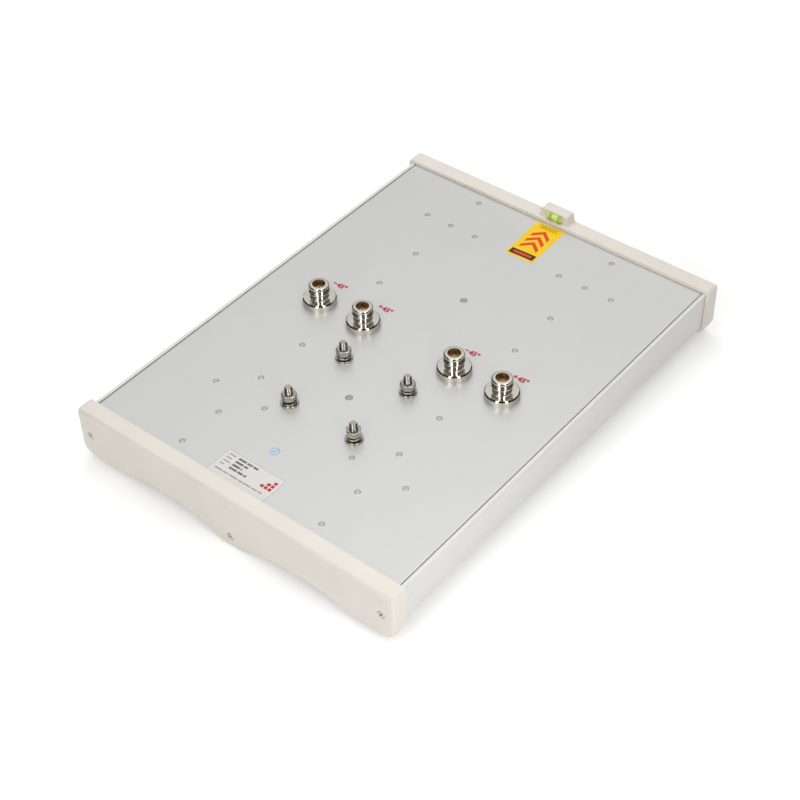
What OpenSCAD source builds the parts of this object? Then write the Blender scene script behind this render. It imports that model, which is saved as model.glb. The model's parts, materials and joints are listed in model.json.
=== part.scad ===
// Sector antenna: a flat panel with a wave-fronted radome, lying on its front with the back plate up.
// Lengths are in millimetres. The origin is the centre of the stud square on the back plate's outer
// face. +Z points out of the back plate, and +Y towards the end that carries the spirit level.

/* [Radome] */
// Length of the extruded radome
radome_length = 386; // [380:1:600]
// Outer width of the radome
radome_width = 283.4; // [270:0.2:330]
// Depth of its flat feet below the back plate's face
radome_depth = 36; // [34:0.5:60]
// Thickness of its wall
radome_wall = 2.5; // [1.5:0.1:3.5]
// Outer radius of its two long bottom corners
radome_corner_r = 7; // [5:0.5:11]
// Radius of the hollow that runs under each column
valley_r = 145; // [125:1:180]
// Rise of each hollow above the feet
valley_rise = 6.7; // [5:0.1:8]
// Radius of the lobe that runs along the middle
lobe_r = 38.7; // [34:0.1:46]
// Drop of the lobe below the feet
lobe_drop = 5.5; // [4:0.1:7]
// Radius of the screw ports in the radome's section
port_r = 4.5; // [3.5:0.1:5.5]
// Distance of a port's centre from the radome's outer surface
port_inset = 7.3; // [6.5:0.1:9]
// Height of the ledge on each side port that carries the back plate
port_ledge = 0.5; // [0.3:0.1:1]

/* [Back plate] */
// Thickness of the plate and its folded sides
plate_t = 2; // [1.5:0.1:3]
// Gap between the plate's sides and the radome
plate_gap = 0.8; // [0.3:0.1:1.2]
// Depth of the folded sides, which stand on the side ports
plate_side_h = 13; // [10:0.5:16]
// Radius of the folds
plate_fold_r = 0.9; // [0.5:0.1:1.4]
// Distance from the stud square's centre up to the middle of the panel
middle_y = 67.5; // [50:0.5:90]

/* [End caps] */
// Thickness of the wall around the radome
cap_wall = 3; // [2.6:0.1:4]
// Thickness of the end wall
cap_end_t = 3.2; // [2.8:0.1:5]
// Length of the radome that a cap covers
cap_overlap = 10; // [8:0.5:14]
// Clearance between a cap and the radome
cap_fit = 0.3; // [0.1:0.1:0.6]
// Radius of the rounded outer edges
cap_edge_r = 2.4; // [1:0.1:2.5]
// Radius of the two upper corners
cap_top_r = 3; // [2.6:0.1:5]
// Diameter of the ejector pin marks on the end face
ejector_mark_d = 3; // [2:0.1:4]
// Depth of the ejector pin marks
ejector_mark_depth = 0.4; // [0.1:0.05:0.5]
// Distance of the ejector pin marks below the back plate's face
ejector_mark_z = 3.7; // [3:0.1:6]

/* [Cap screws] */
// Diameter of the screw head
cap_screw_head_d = 5.7; // [5:0.1:7]
// Height of the screw head
cap_screw_head_h = 1.7; // [1.2:0.1:2]
// Chamfer of the screw head's rim
cap_screw_rim_ch = 0.5; // [0.2:0.1:0.6]
// Diameter of the screw's thread in its port
cap_screw_d = 3; // [2.4:0.1:3.6]
// Length of the screw under its head
cap_screw_length = 14; // [10:0.5:20]
// Clearance around the screw
cap_screw_fit = 0.3; // [0.1:0.05:0.4]
// Length of each bar of the cross recess
cap_screw_cross_l = 3.4; // [3:0.1:4]
// Width of each bar of the cross recess
cap_screw_cross_w = 0.9; // [0.6:0.1:1.2]
// Depth of the cross recess
cap_screw_cross_h = 1.1; // [0.8:0.1:1.2]

/* [Spirit level] */
// Outer diameter of the vial
vial_d = 7.2; // [6:0.1:7.6]
// Length of the vial
vial_length = 14; // [12:0.5:20]
// Wall thickness of the vial
vial_wall = 0.9; // [0.6:0.1:1.2]
// Clearance around the vial in its cradle
vial_fit = 0.15; // [0.1:0.05:0.3]
// Depth of the vial's axis behind the housing's front
vial_bury = 0.9; // [0.5:0.1:2]
// Depth of the vial's seat in the cap's upper wall
vial_seat = 0.3; // [0.2:0.1:0.8]
// Gap left between the liquid and the vial's wall
liquid_gap = 0.05; // [0.02:0.01:0.1]
// Thickness of the housing at each end of the vial
level_end_t = 5.5; // [4:0.1:7]
// Height of the housing above the cap
level_h = 8; // [7.5:0.1:11]
// Set-back of the housing from the cap's inner edge
level_setback = 3.1; // [2:0.1:4]
// Set-back of the housing from the cap's end face
level_inset = 1.2; // [0.5:0.1:2]
// Radius of the hollow fillets at the housing's foot
level_foot_r = 4; // [2:0.1:6]
// Radius of the housing's upper corners
level_top_r = 1.8; // [0.5:0.1:3]
// Diameter of the bubble
bubble_d = 3; // [2:0.1:3.6]
// Length of the bubble
bubble_length = 5.5; // [4.5:0.1:8]
// Depth of the bubble below the top of the liquid
bubble_depth = 2.2; // [1.2:0.1:2.6]

/* [Array] */
// Distance of each column from the radome's side
column_inset = 77.4; // [70:0.1:82]
// Spacing of the radiators along a column
row_pitch = 45; // [40:0.5:46]
// Distance of the outermost standoffs from the radome's ends
end_standoff_inset = 21.2; // [17:0.1:25]
// Distance of the side standoffs from their column
side_standoff_x = 23.8; // [22:0.1:25]
// Diameter of a standoff, which shows as a flush disc on the back
standoff_d = 4.4; // [4:0.1:5]
// Clearance of a standoff in the plate
standoff_fit = 0.05; // [0.02:0.01:0.1]
// Chamfer round the flush faces of the standoffs and rivets
disc_ch = 0.4; // [0.1:0.1:0.6]
// Gap between the plate and a feed board
standoff_h = 5.5; // [5:0.1:8]
// Width of a feed board
board_width = 56; // [54:0.5:64]
// Length of a feed board beyond its outermost standoffs
board_end = 5.2; // [4:0.1:6]
// Thickness of a feed board
board_t = 1; // [0.6:0.1:1.6]
// Diameter of the board screws' thread
board_screw_d = 2.5; // [2:0.1:2.8]
// Diameter of the board screws' heads
board_screw_head_d = 5; // [4.4:0.1:6]
// Height of the board screws' heads
board_screw_head_h = 1.6; // [1.2:0.1:2]
// Length of thread in a standoff
board_screw_grip = 4; // [3:0.1:4.5]
// Side of a square patch radiator
patch_side = 23; // [18:0.5:25]
// Thickness of a patch radiator
patch_t = 0.8; // [0.5:0.1:1.2]
// Gap between a feed board and its radiators
patch_gap = 4; // [3:0.1:6]
// Diameter of a radiator's spacer
spacer_d = 6; // [5:0.1:8]
// Diameter of the spacer's pins
spacer_pin_d = 2.4; // [2:0.1:3]
// Diameter of the snap heads on those pins
spacer_head_d = 3.6; // [3.4:0.1:4.5]
// Height of the snap heads
spacer_head_h = 1.2; // [0.8:0.1:1.6]
// Clearance of screws and pins in their holes
hole_fit = 0.1; // [0.05:0.05:0.2]

/* [Divider] */
// Length of the divider between the columns
divider_length = 220; // [180:1:300]
// Width of its foot
divider_foot_w = 14; // [10:0.5:18]
// Height of its web below the plate
divider_h = 16; // [10:0.5:20]
// Thickness of its sheet
divider_t = 1.2; // [0.8:0.1:2]
// Diameter of the two rivets that hold it
divider_rivet_d = 5.4; // [4.5:0.1:6]
// Diameter of the rivets' closed heads
divider_rivet_head_d = 8; // [7:0.1:9.5]
// Height of the rivets' closed heads
divider_rivet_head_h = 1.6; // [1:0.1:2.5]

/* [Connectors] */
// Distance of a connector from its column
connector_offset = 21.4; // [18:0.1:24]
// Diameter of the round flange
connector_flange_d = 26; // [24:0.1:28]
// Height of the round flange
connector_flange_h = 6; // [4.5:0.1:8]
// Chamfer of the flange's rim
connector_rim_ch = 0.9; // [0.3:0.1:1.2]
// Diameter of the neck under the thread
connector_neck_d = 13.5; // [12.5:0.1:14.5]
// Diameter of the coupling thread
connector_thread_d = 15.88; // [15.5:0.01:16.5]
// Height of the connector above the plate
connector_h = 18.3; // [17:0.1:22]
// Distance from the connector's mouth to the lower end of its thread
connector_barrel = 6.9; // [6:0.1:9]
// Length of the rounded nose above the thread
connector_nose = 1.5; // [0.8:0.1:2]
// Diameter of the bore
connector_bore_d = 8.6; // [8:0.1:9.4]
// Chamfer of the bore's mouth
connector_mouth_ch = 0.7; // [0.3:0.1:1]
// Depth of the bore down to the insulator
connector_bore_depth = 9.2; // [8.5:0.1:10]
// Diameter of the tail that passes through the plate
connector_tail_d = 15; // [14:0.1:15.5]
// Length of the tail beyond its nut
connector_tail_past = 1; // [0.5:0.1:1.5]
// Size of the shoulder that stops the insulator at the tail's end
connector_shoulder = 1; // [0.5:0.1:1.5]
// Clearance of the tail in the plate
connector_fit = 0.2; // [0.1:0.05:0.4]
// Diameter of the centre contact
contact_d = 3.04; // [2.8:0.01:3.2]
// Diameter of the contact's socket
contact_bore_d = 1.7; // [1.5:0.05:1.9]
// Depth of the contact's tip below the mouth
contact_recess = 3.3; // [2.5:0.1:5]
// Diameter of the contact's stem in the insulator
contact_stem_d = 2.6; // [2:0.05:2.7]
// Diameter of the contact's solder pin
contact_pin_d = 1.3; // [1:0.05:1.6]
// Length of the solder pin beyond the feed board
contact_pin_past = 1; // [0.5:0.1:2]
// Width of the slots between the contact's fingers
contact_slot_w = 0.35; // [0.2:0.05:0.5]
// Section diameter of the flange's sealing ring
oring_section_d = 1.5; // [1.2:0.1:1.8]
// Mean diameter of the sealing ring
oring_d = 19.4; // [18.8:0.1:20.5]
// Width across the flats of the rear nut
connector_nut_af = 19; // [18:0.5:21]
// Height of the rear nut
connector_nut_h = 3; // [2:0.1:3.5]

/* [Mounting studs] */
// Side of the square on which the studs stand
stud_square = 60; // [50:1:70]
// Diameter of the studs' free thread
stud_d = 6; // [5:0.1:8]
// Diameter at which the thread meets its nut
stud_pitch_d = 5.35; // [4.5:0.05:5.5]
// Height of the studs above the plate
stud_h = 16; // [14:0.5:30]
// Chamfer at the studs' free ends
stud_ch = 0.7; // [0.3:0.1:1]
// Diameter of the studs' heads under the plate
stud_head_d = 9; // [8:0.1:11]
// Height of the studs' heads
stud_head_h = 1.6; // [1:0.1:2.5]
// Diameter of the flat washers
washer_d = 13.3; // [11:0.1:15]
// Thickness of the flat washers
washer_t = 1.6; // [1:0.1:2]
// Chamfer of the flat washers' rims
washer_ch = 0.2; // [0.1:0.05:0.4]
// Diameter of the spring washers
spring_washer_d = 10.8; // [9:0.1:12]
// Thickness of the spring washers
spring_washer_t = 1.6; // [1:0.1:2]
// Height at which the spring washers stand under the nuts, which are not yet drawn down
spring_washer_h = 3.3; // [2.4:0.1:3.6]
// Width of the split in the spring washers
spring_washer_split = 0.9; // [0.5:0.1:1.5]
// Width across the flats of the nuts
nut_af = 10; // [9:0.1:11]
// Height of the nuts
nut_h = 4.9; // [4:0.1:6]
// Diameter of the nuts' flat end faces
nut_face_d = 9.5; // [9:0.1:10.5]
// Depth of the countersink at each end of a nut's thread
nut_sink = 0.6; // [0.3:0.1:0.8]
// Clearance of the nuts' thread
nut_fit = 0.05; // [0.02:0.01:0.1]
// Clearance of the washers on the studs
washer_fit = 0.2; // [0.1:0.05:0.4]

/* [Hidden] */
$fn = 64;

// Extra length by which a cutter runs past the surface that it opens
past = 1;

// Colours
radome_grey = [0.87, 0.87, 0.85];
cap_cream = [0.91, 0.89, 0.85];
plate_silver = [0.78, 0.78, 0.77];
nickel = [0.80, 0.77, 0.72];
steel = [0.66, 0.66, 0.65];
brass = [0.72, 0.52, 0.24];
ptfe_white = [0.93, 0.92, 0.88];
rubber_black = [0.10, 0.10, 0.10];
board_green = [0.20, 0.40, 0.26];
vial_clear = [0.92, 0.96, 0.80];
fluid_green = [0.78, 0.90, 0.16];

// Levels, measured from the back plate's outer face
feet_z = -radome_depth;
lobe_z = feet_z - lobe_drop;
// Height of the lobe above its lowest line, up to where it is well inside the panel
lobe_join = lobe_drop + valley_rise;
plate_back_z = -plate_t;
board_top_z = plate_back_z - standoff_h;
board_back_z = board_top_z - board_t;
patch_top_z = board_back_z - patch_gap;
patch_back_z = patch_top_z - patch_t;
bore_floor_z = connector_h - connector_bore_depth;
contact_tip_z = connector_h - contact_recess;
thread_z = connector_h - connector_barrel;
tail_z = plate_back_z - connector_nut_h - connector_tail_past;
shoulder_z = tail_z + connector_shoulder;
nut_low_z = washer_t + spring_washer_h;
stack_h = nut_low_z + nut_h;

// Caps
cap_out = cap_fit + cap_wall;
cap_length = cap_overlap + cap_fit + cap_end_t;
cap_face_y = radome_length / 2 + cap_fit + cap_end_t;
cap_lip_y = cap_face_y - cap_length;

// Back plate
plate_width = radome_width - 2 * radome_wall - 2 * plate_gap;
plate_length = radome_length - 2 * plate_gap;

// Spirit level, in the cap's own coordinates
level_half_w = vial_length / 2 + level_end_t;
level_top = cap_out + level_h;
vial_y = cap_out + vial_d / 2 - vial_seat;
vial_depth = level_setback + vial_bury;
vial_bore_d = vial_d - 2 * vial_wall;
vial_bore_length = vial_length - 2 * vial_wall;
liquid_d = vial_bore_d - 2 * liquid_gap;
liquid_length = vial_bore_length - 2 * liquid_gap;

// Places of what repeats
column_x = radome_width / 2 - column_inset;
end_standoff_y = radome_length / 2 - end_standoff_inset;
connector_x = [
    -column_x - connector_offset, -column_x + connector_offset,
    column_x - connector_offset, column_x + connector_offset
];
stud_places = [for (x = [-1, 1], y = [-1, 1]) [x * stud_square / 2, y * stud_square / 2]];
// Turns at which the nuts and the splits of the spring washers stopped on the studs
nut_turns = [42, 45, 13, 40];
split_turns = [-95, 130, 60, 150];
divider_rivet_places = [for (i = [-1.5, 1.5]) [0, middle_y + i * row_pitch]];
side_port_x = radome_width / 2 - port_inset;
side_port_z = -plate_side_h - port_ledge - port_r;
port_places = [[-side_port_x, side_port_z], [side_port_x, side_port_z], [0, lobe_z + port_inset]];

// Standoffs of one column, whose centre line is at x: between the radiators, at the ends and at the sides
function standoff_places(x) = concat(
    [for (i = [-3 : 3]) if (i != 0) [x, middle_y + i * row_pitch]],
    [for (s = [-1, 1]) [x, middle_y + s * end_standoff_y]],
    [for (s = [-1, 1], row = [-2.5, 3]) [x + s * side_standoff_x, middle_y + row * row_pitch]]
);

// Radiators of one column
function radiator_places(x) = [for (i = [-3.5 : 1 : 3.5]) [x, middle_y + i * row_pitch]];

// Connector pins of one column
function pin_places(x) = [for (s = [-1, 1]) [x + s * connector_offset, middle_y]];

// Copies its children to each place on the back plate
module at(places) {
    for (p = places) {
        translate([p[0], p[1], 0]) children();
    }
}

// A cylinder between two levels
module post(d, low, high) {
    translate([0, 0, low]) cylinder(d = d, h = high - low);
}

// A post up to the back plate's face whose rim there is chamfered
module flush_post(d, low) {
    post(d, low, -disc_ch);
    translate([0, 0, -disc_ch]) cylinder(d1 = d, d2 = d - 2 * disc_ch, h = disc_ch);
}

// A hexagonal prism given by its width across the flats
module hexagon(af, low, high) {
    translate([0, 0, low]) cylinder(d = af / cos(30), h = high - low, $fn = 6);
}

// Stands an end-on outline up, with its depth running outwards from the panel's lower end
module end_on(y) {
    translate([0, y, 0]) rotate([90, 0, 0]) children();
}

// Width-and-depth rectangle with two rounded lower corners, grown outwards by g
module rounded_feet(g) {
    half = radome_width / 2 + g;
    r = radome_corner_r + g;
    low = feet_z - g;
    translate([-half + r, low]) square([2 * (half - r), g - low]);
    translate([-half, low + r]) square([2 * half, g - low - r]);
    for (s = [-1, 1]) {
        translate([s * (half - r), low + r]) circle(r = r);
    }
}

// The panel's end-on outline, with its hollows and middle lobe, grown outwards by g from the radome
module wave_outline(g) {
    difference() {
        rounded_feet(g);
        for (s = [-1, 1]) {
            translate([s * column_x, feet_z + valley_rise - valley_r]) circle(r = valley_r - g, $fn = 128);
        }
    }
    intersection() {
        translate([0, lobe_z + lobe_r]) circle(r = lobe_r + g, $fn = 128);
        translate([-lobe_r, lobe_z - lobe_r]) square([2 * lobe_r, lobe_r + lobe_join]);
    }
}

// Extruded wave-fronted trough with three screw ports, open at the back
module radome() {
    color(radome_grey) end_on(middle_y + radome_length / 2) linear_extrude(radome_length) {
        difference() {
            union() {
                difference() {
                    wave_outline(0);
                    wave_outline(-radome_wall);
                    translate([-plate_width / 2 - plate_gap, -2 * radome_wall])
                        square([plate_width + 2 * plate_gap, 3 * radome_wall]);
                }
                radome_ports();
            }
            for (p = port_places) {
                translate(p) circle(d = cap_screw_d + cap_screw_fit);
            }
        }
    }
}

// Lands around the screw ports: two stand off the side walls and one off the floor of the lobe
module radome_ports() {
    land = port_inset - radome_wall / 2;
    for (p = port_places) {
        translate(p) circle(r = port_r);
    }
    for (x = [-side_port_x - land, side_port_x]) {
        translate([x, side_port_z - port_r + port_ledge]) square([land, 2 * port_r]);
    }
    translate([-port_r + port_ledge, lobe_z + radome_wall / 2]) square([2 * (port_r - port_ledge), land]);
}

// Folded aluminium tray that is the antenna's back and its reflector
module back_plate() {
    color(plate_silver) difference() {
        end_on(middle_y + plate_length / 2) linear_extrude(plate_length) plate_section();
        translate([0, 0, -plate_t - past]) linear_extrude(plate_t + 2 * past) {
            at(stud_places) circle(d = stud_pitch_d + 2 * hole_fit);
            at([for (x = connector_x) [x, middle_y]]) circle(d = connector_tail_d + 2 * connector_fit);
            at(divider_rivet_places) circle(d = divider_rivet_d + 2 * standoff_fit);
            for (s = [-1, 1]) {
                at(standoff_places(s * column_x)) circle(d = standoff_d + 2 * standoff_fit);
            }
        }
    }
}

// Section of the tray: a flat with two sides folded down and rounded folds
module plate_section() {
    difference() {
        translate([-plate_width / 2, -plate_side_h]) square([plate_width, plate_side_h]);
        translate([-plate_width / 2 + plate_t, -plate_side_h - past])
            square([plate_width - 2 * plate_t, plate_side_h - plate_t + past]);
        for (s = [0, 1]) {
            mirror([s, 0]) translate([plate_width / 2 - plate_fold_r, -plate_fold_r]) difference() {
                square(plate_fold_r + past);
                circle(r = plate_fold_r);
            }
        }
    }
}

// Section of a rounded outer edge: a corner of the given size with a quarter circle taken out of it
module edge_corner(r) {
    difference() {
        square(r + past);
        circle(r = r);
    }
}

// Disc of the cap's length whose outer rim is rounded
module rounded_disc(r) {
    rotate_extrude($fn = 128) difference() {
        square([r, cap_length]);
        translate([r - cap_edge_r, cap_length - cap_edge_r]) edge_corner(cap_edge_r);
    }
}

// Slab along X between two heights, with the outer edges at its foot and top rounded
module slab_across(half, low, high) {
    translate([-half, 0, 0]) rotate([90, 0, 90]) linear_extrude(2 * half) difference() {
        translate([low, 0]) square([high - low, cap_length]);
        translate([high - cap_edge_r, cap_length - cap_edge_r]) edge_corner(cap_edge_r);
        translate([low + cap_edge_r, cap_length - cap_edge_r]) mirror([1, 0]) edge_corner(cap_edge_r);
    }
}

// Slab up the cap between two heights, with the outer edges at its sides rounded
module slab_up(half, low, high) {
    translate([0, high, 0]) rotate([90, 0, 0]) linear_extrude(high - low) difference() {
        translate([-half, 0]) square([2 * half, cap_length]);
        for (s = [0, 1]) {
            mirror([s, 0]) translate([half - cap_edge_r, cap_length - cap_edge_r]) edge_corner(cap_edge_r);
        }
    }
}

// Cutter for a hollow whose outer rim flares into a rounded edge
module valley_cutter() {
    r = valley_r - cap_out;
    translate([0, feet_z + valley_rise - valley_r, -past]) rotate_extrude($fn = 128) {
        square([r, cap_length + 2 * past]);
        translate([r, cap_length - cap_edge_r + past]) difference() {
            square([cap_edge_r, cap_edge_r + past]);
            translate([cap_edge_r, 0]) circle(r = cap_edge_r);
        }
    }
}

// Outer form of a cap, lying with its inner edge at 0 and its end face at cap_length
module cap_form() {
    half = radome_width / 2 + cap_out;
    foot_r = radome_corner_r + cap_out;
    low = feet_z - cap_out;
    difference() {
        union() {
            slab_across(half - foot_r, low, cap_out);
            slab_across(half - cap_top_r, low + foot_r, cap_out);
            slab_up(half, low + foot_r, cap_out - cap_top_r);
            for (s = [-1, 1]) {
                translate([s * (half - foot_r), low + foot_r, 0]) rounded_disc(foot_r);
                translate([s * (half - cap_top_r), cap_out - cap_top_r, 0]) rounded_disc(cap_top_r);
            }
        }
        for (s = [-1, 1]) {
            translate([s * column_x, 0, 0]) valley_cutter();
        }
    }
    intersection() {
        translate([0, lobe_z + lobe_r, 0]) rounded_disc(lobe_r + cap_out);
        translate([-lobe_r, lobe_z - lobe_r, 0]) cube([2 * lobe_r, lobe_r + lobe_join, cap_length]);
    }
}

// Hollows in a cap: the radome's socket, the screw holes with their seats, and the ejector pin marks
module cap_hollows() {
    translate([0, 0, -past]) linear_extrude(cap_overlap + cap_fit + past) wave_outline(cap_fit);
    for (p = port_places) {
        translate([p[0], p[1], 0]) {
            post(cap_screw_d + 2 * cap_screw_fit, cap_overlap, cap_length + past);
            post(cap_screw_head_d + 2 * cap_screw_fit, cap_length - cap_screw_head_h, cap_length + past);
        }
        translate([p[0], -ejector_mark_z, 0])
            post(ejector_mark_d, cap_length - ejector_mark_depth, cap_length + past);
    }
}

// Moulded cap that closes the lower end
module bottom_end_cap() {
    color(cap_cream) end_on(middle_y - cap_lip_y) difference() {
        cap_form();
        cap_hollows();
    }
}

// Moulded cap that closes the upper end and holds the spirit level
module top_end_cap() {
    color(cap_cream) mirrored_end() difference() {
        union() {
            cap_form();
            level_housing();
        }
        cap_hollows();
        level_cradle();
    }
}

// Turns a piece of the lower end round to the upper end
module mirrored_end() {
    translate([0, 2 * middle_y, 0]) mirror([0, 1, 0]) end_on(middle_y - cap_lip_y) children();
}

// Block on the cap's upper wall with rounded corners and hollow fillets at its foot
module level_housing() {
    translate([0, 0, level_setback]) linear_extrude(cap_length - level_setback - level_inset) difference() {
        translate([-level_half_w - level_foot_r, cap_out - cap_wall / 2])
            square([2 * (level_half_w + level_foot_r), level_h + cap_wall / 2]);
        for (s = [0, 1]) {
            mirror([s, 0]) {
                translate([level_half_w + level_foot_r, cap_out + level_foot_r]) circle(r = level_foot_r);
                translate([level_half_w, cap_out + level_foot_r]) square([2 * level_foot_r, level_h]);
                translate([level_half_w - level_top_r, level_top - level_top_r]) edge_corner(level_top_r);
            }
        }
    }
}

// Round cradle for the vial, open at the housing's front and let a little into the cap's upper wall
module level_cradle() {
    half = vial_length / 2 + vial_fit;
    translate([-half, vial_y, vial_depth]) rotate([0, 90, 0])
        cylinder(d = vial_d + 2 * vial_fit, h = 2 * half);
}

// Clear vial, closed at both ends
module level_vial() {
    color(vial_clear) mirrored_end() translate([-vial_length / 2, vial_y, vial_depth]) rotate([0, 90, 0])
        difference() {
            cylinder(d = vial_d, h = vial_length);
            translate([0, 0, vial_wall]) cylinder(d = vial_bore_d, h = vial_bore_length);
        }
}

// Liquid that fills the vial around its bubble
module level_fluid() {
    straight = bubble_length - bubble_d;
    color(fluid_green) mirrored_end() translate([0, vial_y, vial_depth]) difference() {
        translate([-liquid_length / 2, 0, 0]) rotate([0, 90, 0]) cylinder(d = liquid_d, h = liquid_length);
        translate([-straight / 2, liquid_d / 2 - bubble_depth + bubble_d / 2, 0]) rotate([0, 90, 0]) {
            cylinder(d = bubble_d, h = straight);
            sphere(d = bubble_d);
            translate([0, 0, straight]) sphere(d = bubble_d);
        }
    }
}

// Cross-recessed screws that run through a cap into the radome's ports
module cap_screws() {
    cross_z = cap_screw_head_h - cap_screw_cross_h;
    rim_z = cap_screw_head_h - cap_screw_rim_ch;
    face_d = cap_screw_head_d - 2 * cap_screw_rim_ch;
    for (p = port_places) {
        translate([p[0], p[1], cap_length - cap_screw_head_h]) color(steel) difference() {
            union() {
                post(cap_screw_head_d, 0, rim_z);
                translate([0, 0, rim_z]) cylinder(d1 = cap_screw_head_d, d2 = face_d, h = cap_screw_rim_ch);
                post(cap_screw_d, -cap_screw_length, 0);
            }
            for (a = [45, 135]) {
                rotate([0, 0, a]) translate([-cap_screw_cross_l / 2, -cap_screw_cross_w / 2, cross_z])
                    cube([cap_screw_cross_l, cap_screw_cross_w, cap_screw_cross_h + past]);
            }
        }
    }
}

module top_cap_screws() {
    mirrored_end() cap_screws();
}

module bottom_cap_screws() {
    end_on(middle_y - cap_lip_y) cap_screws();
}

// Turned body of a coaxial jack: tail, round flange, neck, coupling thread and rounded nose
module connector_body(i) {
    bore_r = connector_bore_d / 2;
    color(nickel) translate([connector_x[i], middle_y, 0]) difference() {
        rotate_extrude() connector_section();
        post(connector_bore_d, shoulder_z, connector_h + past);
        post(connector_bore_d - 2 * connector_shoulder, tail_z - past, shoulder_z + past);
        translate([0, 0, connector_h - connector_mouth_ch])
            cylinder(r1 = bore_r, r2 = bore_r + 2 * connector_mouth_ch, h = 2 * connector_mouth_ch);
        difference() {
            post(oring_d + oring_section_d, -past, oring_section_d);
            post(oring_d - oring_section_d, -2 * past, oring_section_d + past);
        }
    }
}

// Half section of the jack's body, solid to its axis
module connector_section() {
    flange_r = connector_flange_d / 2;
    neck_r = connector_neck_d / 2;
    thread_r = connector_thread_d / 2;
    tail_r = connector_tail_d / 2;
    difference() {
        polygon([
            [0, tail_z], [tail_r, tail_z], [tail_r, 0], [flange_r, 0],
            [flange_r, connector_flange_h - connector_rim_ch],
            [flange_r - connector_rim_ch, connector_flange_h],
            [neck_r + connector_rim_ch, connector_flange_h],
            [neck_r, connector_flange_h + connector_rim_ch],
            [neck_r, thread_z - thread_r + neck_r], [thread_r, thread_z],
            [thread_r, connector_h], [0, connector_h]
        ]);
        translate([thread_r - connector_nose, connector_h - connector_nose]) edge_corner(connector_nose);
    }
}

// Insulating bead that fills the jack's bore below its mouth
module connector_insulator(i) {
    color(ptfe_white) translate([connector_x[i], middle_y, 0]) difference() {
        post(connector_bore_d - 2 * hole_fit, shoulder_z, bore_floor_z);
        post(contact_stem_d + 2 * hole_fit, tail_z, connector_h);
    }
}

// Slotted socket contact with its solder pin, which reaches through the feed board
module connector_contact(i) {
    color(brass) translate([connector_x[i], middle_y, 0]) difference() {
        union() {
            post(contact_d, bore_floor_z, contact_tip_z);
            post(contact_stem_d, shoulder_z, bore_floor_z);
            post(contact_pin_d, board_back_z - contact_pin_past, shoulder_z);
        }
        post(contact_bore_d, bore_floor_z, contact_tip_z + past);
        for (a = [0, 90]) {
            rotate([0, 0, a]) translate([-contact_d, -contact_slot_w / 2, bore_floor_z + past])
                cube([2 * contact_d, contact_slot_w, connector_h]);
        }
    }
}

// Sealing ring in the groove under the flange
module connector_oring(i) {
    color(rubber_black) translate([connector_x[i], middle_y, oring_section_d / 2])
        rotate_extrude() translate([oring_d / 2, 0]) circle(d = oring_section_d - hole_fit);
}

// Hexagonal nut that draws the flange onto the plate from inside
module connector_nut(i) {
    color(nickel) translate([connector_x[i], middle_y, 0]) difference() {
        hexagon(connector_nut_af, plate_back_z - connector_nut_h, plate_back_z);
        post(connector_tail_d + 2 * nut_fit, tail_z, plate_back_z + past);
    }
}

// Clinched studs: the thread is drawn at its pitch diameter under the nut and at full size above it
module mounting_studs() {
    color(nickel) at(stud_places) {
        post(stud_head_d, plate_back_z - stud_head_h, plate_back_z);
        post(stud_pitch_d, plate_back_z, stack_h);
        post(stud_d, stack_h, stud_h - stud_ch);
        translate([0, 0, stud_h - stud_ch]) cylinder(d1 = stud_d, d2 = stud_d - 2 * stud_ch, h = stud_ch);
    }
}

// Plain washers with chamfered rims
module stud_flat_washers() {
    bore_r = stud_d / 2 + washer_fit;
    rim_r = washer_d / 2;
    color(nickel) at(stud_places) rotate_extrude() polygon([
        [bore_r, 0], [rim_r - washer_ch, 0], [rim_r, washer_ch],
        [rim_r, washer_t - washer_ch], [rim_r - washer_ch, washer_t], [bore_r, washer_t]
    ]);
}

// Half of a spring washer, a flat half ring that is tilted so that it climbs from +X round to -X
module spring_half(tilt) {
    rotate([0, tilt, 0]) difference() {
        post(spring_washer_d, 0, spring_washer_t);
        post(stud_d + 2 * washer_fit, -past, spring_washer_t + past);
        translate([-spring_washer_d, -2 * spring_washer_d, -past])
            cube([2 * spring_washer_d, 2 * spring_washer_d, spring_washer_t + 2 * past]);
    }
}

// Split rings that lock the nuts: two tilted halves make one rising turn, and the split parts its ends
module stud_spring_washers() {
    rim_r = spring_washer_d / 2;
    mean_r = (rim_r + stud_d / 2 + washer_fit) / 2;
    tilt = asin((spring_washer_h - spring_washer_t) / (2 * (rim_r + mean_r)));
    color(nickel) for (i = [0 : 3]) {
        at([stud_places[i]]) rotate([0, 0, split_turns[i]]) difference() {
            translate([0, 0, washer_t + rim_r * sin(tilt)]) {
                spring_half(tilt);
                translate([0, 0, 2 * mean_r * sin(tilt)]) mirror([0, 1, 0]) spring_half(-tilt);
            }
            translate([0, -spring_washer_split / 2, 0])
                cube([spring_washer_d, spring_washer_split, stack_h]);
        }
    }
}

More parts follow.
